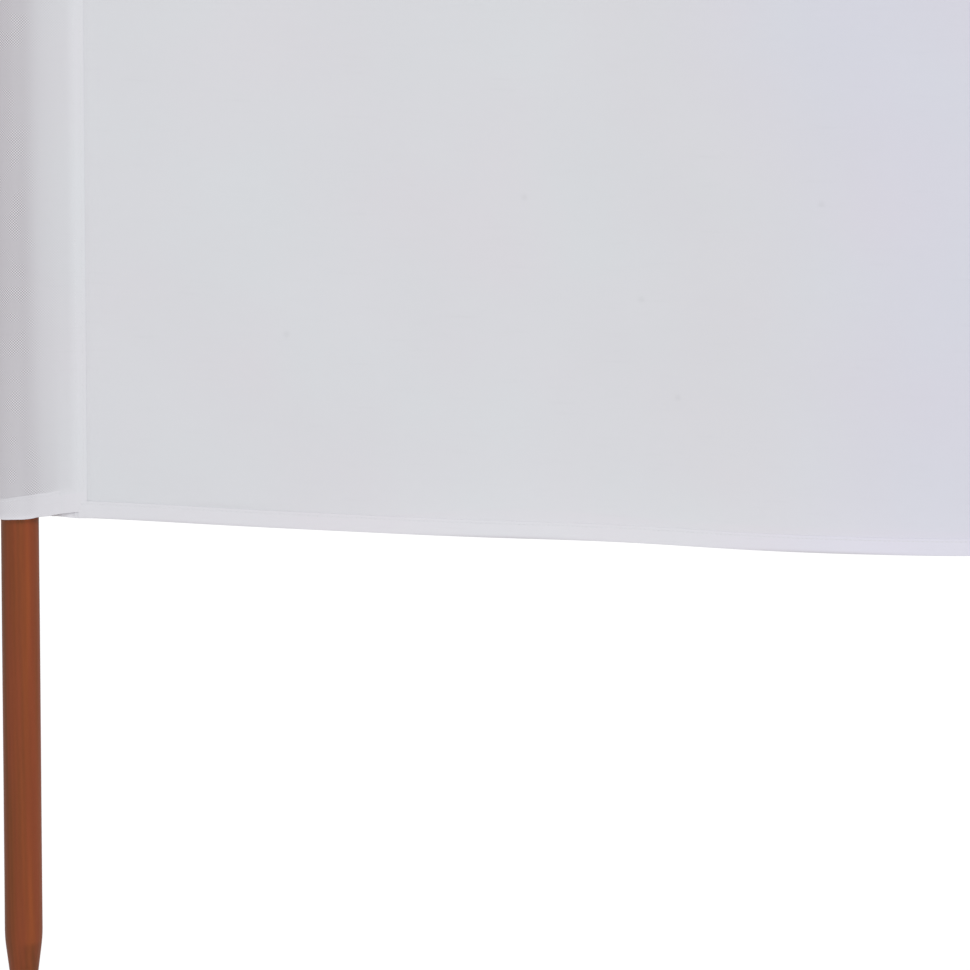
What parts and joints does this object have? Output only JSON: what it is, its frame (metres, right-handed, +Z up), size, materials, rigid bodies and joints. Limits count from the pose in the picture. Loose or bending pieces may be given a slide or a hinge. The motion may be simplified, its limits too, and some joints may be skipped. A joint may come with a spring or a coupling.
{
  "type": "beach windbreak",
  "caption": "Beach windbreak: plain white cloth sewn into bays with a pocket round each round, pointed, reddish-brown wooden pole, and hemmed along its edges.",
  "frame": {"origin": "centre of the blunt tip of the middle pole, where it goes into the ground", "axes": "+X along the row of poles, +Y towards the back, +Z up the poles; the front, with the hems folded onto it, faces -Y"},
  "size_m": [5.8318, 0.0318, 1.2],
  "materials": {
    "pole_wood": "turned softwood dowel, red-brown stain, satin",
    "cloth": "plain-woven white polyester, smooth and slightly translucent"
  },
  "bodies": {
    "root": {"pole_1": "pole_wood", "pocket_1": "cloth", "pole_2": "pole_wood", "pocket_front_2": "cloth", "pocket_back_2": "cloth", "pole_3": "pole_wood", "pocket_front_3": "cloth", "pocket_back_3": "cloth", "pole_4": "pole_wood", "pocket_front_4": "cloth", "pocket_back_4": "cloth", "pole_5": "pole_wood", "pocket_5": "cloth", "panel_1": "cloth", "bottom_hem_1": "cloth", "top_hem_1": "cloth", "panel_2": "cloth", "bottom_hem_2": "cloth", "top_hem_2": "cloth", "panel_3": "cloth", "bottom_hem_3": "cloth", "top_hem_3": "cloth", "panel_4": "cloth", "bottom_hem_4": "cloth", "top_hem_4": "cloth"}
  },
  "joints": []
}
